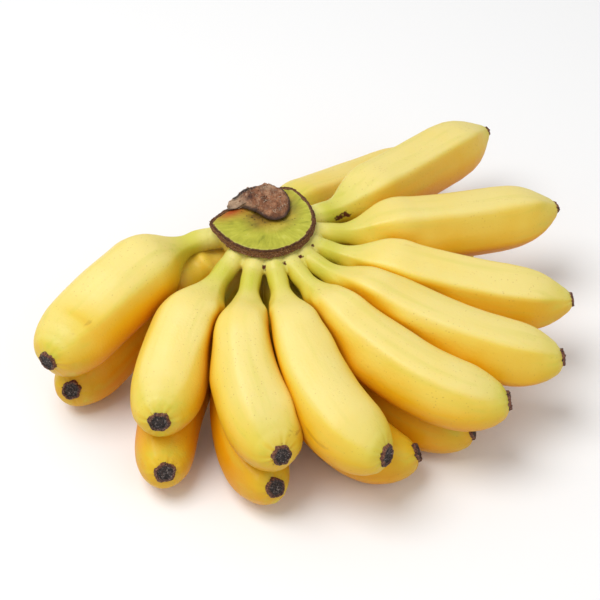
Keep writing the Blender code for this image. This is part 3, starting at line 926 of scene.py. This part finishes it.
# %% Values for the cut face
points = points_of(cut_face)
local_along, local_front = on_crown(points)
turn = np.arctan2((points - face_centre) @ FRONT, (points - face_centre) @ ALONG)
reach = np.linalg.norm((points - face_centre)[:, :2], axis=1)
spokes = np.stack((np.cos(turn) * 12, np.sin(turn) * 12, reach / (5 * MM)), axis=1)
give_value(cut_face, "spokes", spokes, "FLOAT_VECTOR")
# Painted shade from the dried scale: strongest under it and fading towards the bowed edge, with a
# halo along its front edge.
to_scale = np.hypot((local_along - 4.5) / 12.5, (local_front + 2.0) / 13.0)
painted_halo_shade = hump((local_along + 1) / 9, (local_front - 3) / 6)
blush = hump((local_along + 9) / 8, (local_front + 8.9) / 3.4)
blush += 0.7 * hump((local_along - 13) / 4, (local_front + 10) / 2.5)
inwards = np.concatenate((np.zeros(RIM_COLUMNS), np.repeat(shares, RIM_COLUMNS), [0.0, 1.0]))
for key, values in (("shade", np.clip(np.maximum(1.46 - to_scale, 0.85 * painted_halo_shade), 0, 1)),
                    ("blush", np.clip(blush, 0, 1)),
                    ("outer", 0.75 * smoothstep(1 - inwards / 0.8)),
                    ("edge", 0.30 * hump(inwards / 0.03))):
    give_value(cut_face, key, values)
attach(cut_face, "root")
print("cut face has", len(cut_face.data.polygons), "faces")

# %% [markdown]
# ## The corky rim
#
# Round the cut the crown's outer skin has dried to cork: a dark brown band, three millimetres
# high on the bowed side and thinner behind, with lines that run round it and a crumbly top
# edge. It is a closed band whose cross-section is a loop of its own. The noise that roughens
# it is stretched along the band, so that the cork looks layered.

# %% Dry cork
def dry_cork(tree):
    band = add(tree, "ShaderNodeAttribute", attribute_name="band").outputs["Vector"]
    lip = add(tree, "ShaderNodeAttribute", attribute_name="lip").outputs["Fac"]
    place = add(tree, "ShaderNodeTexCoord").outputs["Object"]
    layers = add(tree, "ShaderNodeTexNoise", {"Vector": band, "Scale": 1.0, "Detail": 5.0,
                                              "Roughness": 0.62})
    crumbs = add(tree, "ShaderNodeTexNoise", {"Vector": place, "Scale": 1500.0, "Detail": 4.0})
    brown = add(tree, "ShaderNodeValToRGB", {"Fac": layers},
                stops=((0.32, "34160A"), (0.43, "643A20"), (0.53, "8C5C34"), (0.60, "A87C50"),
                       (0.66, "D8C09A")))
    dark = add(tree, "ShaderNodeMapRange", {"Value": crumbs, "From Min": 0.52, "From Max": 0.66,
                                            "To Max": 0.6})
    colour = brown
    for share, coat in ((0.15, "7C4E2A"), (dark, "2C1A10"), (lip, "3A160E")):
        colour = add(tree, "ShaderNodeMix", {0: share, 6: colour, 7: coat}, data_type="RGBA")
    height = add(tree, "ShaderNodeMath", {0: layers, 1: 1.5, 2: crumbs}, operation="MULTIPLY_ADD")
    bump = add(tree, "ShaderNodeBump", {"Height": height, "Strength": 0.7, "Distance": 0.0005})
    return {"Base Color": colour, "Roughness": 0.88, "Normal": bump}


CORK = new_finish("dry_cork", dry_cork)

# %% The band round the cut
BAND_ROWS = 40                # points round the band's cross-section
# (way out in millimetres, share of the band's height from its top)
BAND_SECTION = ((-0.9, 0.40), (-0.75, 0.12), (-0.45, 0.0), (-0.1, -0.03), (0.2, 0.04),
                (0.36, 0.20), (0.46, 0.40), (0.62, 0.60), (0.84, 0.78), (0.95, 0.92),
                (0.4, 1.04), (-0.6, 0.90))
section = finer_round(np.array([[(out, 0.0, drop) for out, drop in BAND_SECTION]]), BAND_ROWS)[0]
local_along, local_front = on_crown(outline)
front_share, right_share = smoothstep((local_front + 9) / 16), smoothstep((local_along - 2) / 18)
band_height = (1.0 + 2.3 * front_share * (1 - 0.5 * right_share)) * MM
band_top = CUT_LEVEL + 0.25 * MM + 0.18 * MM * lumps(outline, 3.0 * MM, 6)
band = np.array([outline + away * out * MM + UP * (band_top - band_height * drop)[:, None]
                 for out, _, drop in section])
stretched = np.stack(np.broadcast_arrays(
    np.cos(rim_angle)[None, :] * 9, np.sin(rim_angle)[None, :] * 9,
    (np.arange(BAND_ROWS) * 0.55)[:, None]), axis=2)
layered = lumps(stretched, 1.0, 11)
crumbly = lumps(band, 1.1 * MM, 12)
rows_out, columns_out = (np.roll(band, -1, axis=way) - np.roll(band, 1, axis=way)
                         for way in (0, 1))
band_out = unit(np.cross(columns_out, rows_out))
band_out *= np.sign(np.sum(band_out * (band - band.mean(axis=0, keepdims=True))))
band = band + band_out * ((0.30 * layered + 0.26 * crumbly) * MM)[:, :, None]


def ring_faces(rows, columns):
    """Quads all over a band that is closed both ways."""
    faces = []
    for row in range(rows):
        for column in range(columns):
            beside = (column + 1) % columns
            here, there = row * columns, (row + 1) % rows * columns
            faces.append((here + column, here + beside, there + beside, there + column))
    return faces


flat_band = band.reshape(-1, 3)
faces = ring_faces(BAND_ROWS, RIM_COLUMNS)
if volume(flat_band - CROWN, faces) < 0:
    faces = [(one, four, three, two) for one, two, three, four in faces]
rim = mesh_piece("crown_cork_rim", flat_band, faces, CORK)
give_value(rim, "band", (stretched * np.array((6.0, 6.0, 2.4))).reshape(-1, 3), "FLOAT_VECTOR")
lip = 0.75 * hump((section[:, 2] - 0.06) / 0.13) * smoothstep((section[:, 0] + 0.5) / 0.4)
give_value(rim, "lip", np.repeat(lip, RIM_COLUMNS))
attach(rim, "root")
rim_volume = round(volume(flat_band - CROWN, faces) / MM**3)
print("rim has", len(rim.data.polygons), "faces and", rim_volume, "cubic millimetres")

# %% [markdown]
# ## The dried scale
#
# A leaf-like scale once covered the young hand. What is left of it is a tough, reddish-brown
# tongue, folded forwards over the cut face from behind, with a dark rolled edge in front and
# a black torn edge at the back. It is a closed skin too: loops go out along its underside,
# round its thin edge, and back over its top, where folds and fibres are raised.

# %% Dried scale finish
def dried_scale(tree):
    place = add(tree, "ShaderNodeTexCoord").outputs["Object"]
    worn_and_painted_highlight, charred, rolled = (
        add(tree, "ShaderNodeAttribute", attribute_name=name).outputs["Fac"]
        for name in ("worn_and_painted_highlight", "charred", "rolled"))
    slanted = add(tree, "ShaderNodeMapping", {"Vector": place, "Rotation": (0.0, 0.0, 0.9),
                                              "Scale": (1.0, 0.24, 1.0)})
    fibres = add(tree, "ShaderNodeTexNoise", {"Vector": slanted, "Scale": 1500.0, "Detail": 5.0,
                                              "Roughness": 0.65, "Distortion": 1.6})
    clouds = add(tree, "ShaderNodeTexNoise", {"Vector": place, "Scale": 260.0, "Detail": 4.0})
    brown = add(tree, "ShaderNodeValToRGB", {"Fac": clouds},
                stops=((0.30, "4A2614"), (0.46, "84502F"), (0.60, "AB7450"), (0.76, "C49C78")))
    streaked = add(tree, "ShaderNodeMapRange",
                   {"Value": fibres, "From Min": 0.56, "From Max": 0.72, "To Max": 0.55})
    hollow = add(tree, "ShaderNodeMapRange",
                 {"Value": fibres, "From Min": 0.46, "From Max": 0.34, "To Max": 0.8})
    # Pale tan laid along the fibres: wear on the left tail, and a painted highlight on the back
    # right.
    wear_and_highlight = add(tree, "ShaderNodeMath", {0: worn_and_painted_highlight, 1: fibres}, operation="MULTIPLY")
    burnt = add(tree, "ShaderNodeMath", {0: clouds, 1: 0.7, 2: charred}, operation="MULTIPLY_ADD")
    blackness = add(tree, "ShaderNodeMapRange", {"Value": burnt, "From Min": 0.60, "From Max": 1.0,
                                                 "To Max": 0.92})
    colour = brown
    for share, coat in ((streaked, "CDB9A0"), (hollow, "2F1D18"), (wear_and_highlight, "C2AF94"),
                        (blackness, "241C1D"), (rolled, "2A1710")):
        colour = add(tree, "ShaderNodeMix", {0: share, 6: colour, 7: coat}, data_type="RGBA")
    bump = add(tree, "ShaderNodeBump", {"Height": fibres, "Strength": 0.8, "Distance": 0.0006})
    return {"Base Color": colour, "Roughness": 0.72, "Normal": bump}


SCALE_FINISH = new_finish("dried_scale", dried_scale)

# %% The tongue's outline, underside and top
# Its outline in millimetres along and in front of the crown's centre, anticlockwise.
SCALE_OUTLINE = ((15.6, -4.0), (13.4, 1.6), (9.6, 6.0), (5.6, 7.6), (2.0, 6.6), (-0.6, 3.0),
                 (-2.2, -1.8), (-3.6, -5.4), (-6.0, -8.2), (-10.4, -9.6), (-8.0, -12.2),
                 (-1.5, -13.6), (5.5, -13.4), (11.6, -11.6), (15.0, -8.4))
SCALE_COLUMNS, SCALE_THICKNESS = 220, 1.1


def scale_height(along, front):
    """How high the tongue's top is above the cut face, in millimetres."""
    dome = np.maximum(1 - ((along - 5.5) / 13.0)**2 - ((front + 4.5) / 13.0)**2, 0)
    fold = 0.7 * hump((0.75 * (along - 3.0) + 0.66 * (front + 4.5)) / 1.6)
    tail = -0.7 * smoothstep((-along - 2) / 6)
    back = 1.9 * hump((front + 12.6) / 3.4) * smoothstep((9.0 - along) / 9.0)
    return 1.3 + 2.8 * dome + fold * dome + tail + back


corners = np.array([(along, front, 0.0) for along, front in SCALE_OUTLINE])
scale_edge = finer_round(corners[None], SCALE_COLUMNS)[0]
turn_way = np.sum(np.cross(scale_edge, np.roll(scale_edge, -1, axis=0))[:, 2])
scale_edge = scale_edge if turn_way > 0 else scale_edge[::-1]
scale_middle = np.array((5.5, -4.0, 0.0))
in_metres = scale_edge * MM
ragged = 0.5 * lumps(in_metres, 1.6 * MM, 21) + 0.35 * lumps(in_metres, 0.7 * MM, 22)
back_edge = smoothstep((-scale_edge[:, 1] - 9) / 3)
ragged = ragged * (0.35 + 0.8 * back_edge)
scale_edge = scale_edge + unit(scale_edge - scale_middle) * ragged[:, None]

# The underside's loops go out, three go round the edge, and the top's loops come back in.
UNDER_LOOPS, TOP_LOOPS = 18, 46
shares = np.concatenate((np.linspace(0.04, 0.96, UNDER_LOOPS), [0.985, 1.0, 0.985],
                         np.linspace(0.96, 0.02, TOP_LOOPS)))
tops = np.concatenate((np.zeros(UNDER_LOOPS), [0.10, 0.5, 0.90], np.ones(TOP_LOOPS)))
rows = []
for share, top in zip(shares, tops):
    spot = scale_middle + (scale_edge - scale_middle) * share
    high = scale_height(spot[:, 0], spot[:, 1])
    droop = 1.15 * smoothstep((share - 0.72) / 0.28) * (1 - back_edge)
    low = np.maximum(high - SCALE_THICKNESS, 0.15)
    height = np.maximum(low + (high - low) * top - droop, 0.35 + 0.55 * top)
    rows.append(crown_spot(0, 0, CUT_LEVEL) + (spot[:, :1] * ALONG + spot[:, 1:2] * FRONT) * MM
                + UP * (height * MM)[:, None])
tongue = np.array(rows)
folds = 0.42 * lumps(tongue * np.array((1, 1, 0.3)), 4.2 * MM, 23)
fibre_way = np.stack((tongue @ ALONG * 0.25, tongue @ FRONT, tongue[:, :, 2]), axis=2)
fibres = 0.22 * lumps(fibre_way, 0.9 * MM, 24) + 0.14 * lumps(tongue, 0.8 * MM, 25)
tongue = tongue + outward(tongue) * ((folds + fibres) * tops[:, None] * MM)[:, :, None]
torn = 0.45 * MM * np.maximum(lumps(scale_edge * MM, 1.1 * MM, 26), -0.2) * back_edge
tongue[:, :, 2] += torn[None, :] * smoothstep((shares - 0.8) / 0.2)[:, None]
scale = skin_piece("dried_scale", tongue, SCALE_FINISH)
local_along, local_front = on_crown(points_of(scale))
# A painted highlight: a pale spot on the back right of the tongue. The pale left tail is wear.
painted_highlight_spot = 0.8 * hump((local_along - 9) / 3, (local_front + 9) / 2.5)
give_value(scale, "worn_and_painted_highlight", np.clip(smoothstep(-local_along / 6) + painted_highlight_spot, 0, 1))
give_value(scale, "charred", smoothstep((-local_front - 10.0) / 2.6)
           * smoothstep((8 - local_along) / 5) * smoothstep((local_along + 8) / 4))
rolled = smoothstep((shares - 0.86) / 0.10)[:, None] * (1 - back_edge)[None, :] * 0.85
give_value(scale, "rolled", np.concatenate((rolled.ravel(), [0.0, 0.0])))
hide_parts("dried_flap")
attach(scale, "root")
print("dried scale has", len(scale.data.polygons), "faces")

# %% [markdown]
# ## Crumbs, flakes and threads
#
# Dead tissue sheds: the cork has loose flakes, the dried scale has pale torn threads, and
# each blossom end is crumbly. There are hundreds of these bits, all alike, so they are
# scattered with Geometry Nodes instead of being placed by hand. Points are spread over a
# skin's faces, a small shape goes on each, turned and sized at random from a fixed seed, and
# the result is made real and kept as a mesh of its own.

# %% One scatter for all of them
def scatter_nodes():
    """Bits on faces, from a density, two sizes, a lean, a seed and a finish."""
    group = bpy.data.node_groups.new("bits_on_a_skin", "GeometryNodeTree")
    sockets = (("Geometry", "Geometry"), ("Bit", "Object"), ("Density", "Float"),
               ("Smallest", "Float"), ("Largest", "Float"), ("Lean", "Float"), ("Seed", "Int"),
               ("Finish", "Material"))
    for name, kind in sockets:
        group.interface.new_socket(name, in_out="INPUT", socket_type="NodeSocket" + kind)
    group.interface.new_socket("Geometry", in_out="OUTPUT", socket_type="NodeSocketGeometry")
    given = add(group, "NodeGroupInput").outputs
    spread = add(group, "GeometryNodeDistributePointsOnFaces",
                 {"Mesh": given["Geometry"], "Density": given["Density"], "Seed": given["Seed"]})
    bit = add(group, "GeometryNodeObjectInfo", {"Object": given["Bit"]})
    size = add(group, "FunctionNodeRandomValue", {2: given["Smallest"], 3: given["Largest"],
                                                  "Seed": given["Seed"]})
    placed = add(group, "GeometryNodeInstanceOnPoints",
                 {"Points": spread.outputs["Points"], "Instance": bit.outputs["Geometry"],
                  "Rotation": spread.outputs["Rotation"], "Scale": size})
    lean = add(group, "ShaderNodeCombineXYZ",
               {"X": given["Lean"], "Y": given["Lean"], "Z": math.pi})
    back = add(group, "ShaderNodeVectorMath", {0: lean, "Scale": -1.0}, operation="SCALE")
    spin = add(group, "FunctionNodeRandomValue", {0: back, 1: lean, "Seed": given["Seed"]},
               data_type="FLOAT_VECTOR")
    spun = add(group, "GeometryNodeRotateInstances", {"Instances": placed, "Rotation": spin})
    real = add(group, "GeometryNodeRealizeInstances", {"Geometry": spun})
    done = add(group, "GeometryNodeSetMaterial", {"Geometry": real, "Material": given["Finish"]})
    add(group, "NodeGroupOutput", {"Geometry": done})
    return group


SCATTER = scatter_nodes()


def bits_on(name, skins, bit, finish, per_cm2, sizes, lean, seed, keep=None):
    """Scatters a bit over skins, between two sizes in millimetres, and keeps it as one piece."""
    points, faces, count = [], [], 0
    for skin in skins:
        for face in skin.data.polygons:
            if keep is None or keep(np.array(face.center), np.array(face.normal)):
                faces.append([index + count for index in face.vertices])
        points.append(points_of(skin))
        count += len(points[-1])
    host = mesh_piece(name + "_host", np.concatenate(points), faces, finish)
    modifier = host.modifiers.new("scatter", "NODES")
    modifier.node_group = SCATTER
    values = {"Bit": bit, "Density": per_cm2 * 1e4, "Smallest": sizes[0] * MM,
              "Largest": sizes[1] * MM, "Lean": lean, "Seed": seed, "Finish": finish}
    for socket in SCATTER.interface.items_tree:
        if socket.in_out == "INPUT" and socket.name in values:
            modifier[socket.identifier] = values[socket.name]
    piece = result_of(host, name)
    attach(piece, "root")
    print(name, "has", len(piece.data.polygons), "faces")


# %% The shapes of the bits
def chip_shape():
    """An uneven flake, one unit across and thin, standing a little off its skin."""
    angle = np.array((0.0, 1.1, 2.3, 3.3, 4.4, 5.4))
    reach = np.array((0.55, 0.42, 0.50, 0.36, 0.52, 0.40))
    low = np.stack((np.cos(angle) * reach, np.sin(angle) * reach, np.full(6, -0.10)), axis=1)
    high = low * (0.82, 0.82, 0.0) + np.array((0.0, 0.0, 0.14))
    return skin_piece("chip", np.array((low, high)), WITHERED, (0, 0, -0.12), (0, 0, 0.18))


def thread_shape():
    """A bent thread with three sides, one unit long, that tapers to both ends."""
    steps = np.linspace(0, 1, 7)
    middle = np.stack((steps - 0.5, 0.16 * np.sin(steps * 4.0), 0.10 * np.sin(steps * math.pi)),
                      axis=1)
    girth = 0.030 * np.sin(math.pi * (0.06 + 0.88 * steps))
    angle = even_angles(3)
    ring = np.stack((np.zeros(3), np.cos(angle), np.sin(angle)), axis=1)
    loops = middle[:, None] + ring[None] * girth[:, None, None]
    return skin_piece("thread", loops, WITHERED, middle[0], middle[-1])


def dry_thread(tree):
    place = add(tree, "ShaderNodeTexCoord").outputs["Object"]
    tone = add(tree, "ShaderNodeTexNoise", {"Vector": place, "Scale": 700.0, "Detail": 3.0})
    straw = add(tree, "ShaderNodeValToRGB", {"Fac": tone},
                stops=((0.35, "8A6A52"), (0.52, "B89C80"), (0.68, "E0D2BC")))
    bump = add(tree, "ShaderNodeBump", {"Height": tone, "Strength": 0.3, "Distance": 0.0002})
    return {"Base Color": straw, "Roughness": 0.8, "Normal": bump}


FIBRE = new_finish("bleached_dry_fibre", dry_thread)
chip, thread = chip_shape(), thread_shape()


# %% Scattering them
def on_top_of_scale(centre, normal):
    return normal[2] > 0.55 and centre[2] > CUT_LEVEL + 2.2 * MM


bits_on("cork_flakes", [rim], chip, CORK, 32, (0.45, 1.15), 0.5, 3)
bits_on("scale_threads", [scale], thread, FIBRE, 34, (1.3, 3.2), 0.07, 7,
        on_top_of_scale)
bits_on("scale_flakes", [scale], chip, SCALE_FINISH, 20, (0.4, 1.1), 0.5, 11,
        on_top_of_scale)
bits_on("blossom_crumbs", stubs, chip, WITHERED, 30, (0.35, 0.95), 0.9, 5)
bpy.data.objects.remove(chip)
bpy.data.objects.remove(thread)

# %% [markdown]
# ## Light, floor and camera
#
# The hand lies on a plain white floor. One wide soft light hangs above and to the left, a
# weaker one is in front on the right, and a bright even surround fills the shadows. The
# camera looks down at 45 degrees through a long lens.

# %% The stage
def plain_white(tree):
    grain = add(tree, "ShaderNodeTexNoise", {"Scale": 3.0, "Detail": 1.0})
    white = add(tree, "ShaderNodeValToRGB", {"Fac": grain},
                stops=((0.3, "FAFAFA"), (0.7, "FBFBFB")))
    return {"Base Color": white, "Roughness": 0.9}


FLOOR_FINISH = new_finish("plain_white_floor", plain_white)
HALF = 4.0
corners = [(-HALF, -HALF, 0), (HALF, -HALF, 0), (HALF, HALF, 0), (-HALF, HALF, 0)]
floor = mesh_piece("floor", corners, [(0, 1, 2, 3)], FLOOR_FINISH)


def soft_light(name, place, size, power, target=(0.0, 0.0, 0.02)):
    lamp = bpy.data.lights.new(name, "AREA")
    lamp.shape = "DISK"
    lamp.size = size
    lamp.energy = power
    light = in_scene(name, lamp)
    light.location = place
    light.rotation_euler = (Vector(target) - Vector(place)).to_track_quat("-Z", "Y").to_euler()


soft_light("key_light", (-0.45, -0.10, 1.10), 0.80, 9.1)
soft_light("fill_light", (0.75, -0.70, 0.80), 0.90, 1.6)
world = bpy.data.worlds.new("white_surround")
world.use_nodes = True
surround = world.node_tree.nodes["Background"]
surround.inputs["Color"].default_value = (1.0, 1.0, 1.0, 1.0)
surround.inputs["Strength"].default_value = 0.50
bpy.context.scene.world = world
bpy.context.scene.view_settings.view_transform = "Standard"

TARGET = Vector(CROWN + np.array((0.0160, -0.0250, 0.0350)))
TILT = math.radians(45.0)
CAMERA_DISTANCE = 0.600
lens = bpy.data.cameras.new("camera")
lens.lens = 86.4
lens.sensor_width = 36.0
camera = in_scene("camera", lens)
camera.location = TARGET + CAMERA_DISTANCE * Vector((0.0, -math.cos(TILT), math.sin(TILT)))
camera.rotation_euler = (math.pi / 2 - TILT, 0.0, 0.0)
bpy.context.scene.camera = camera
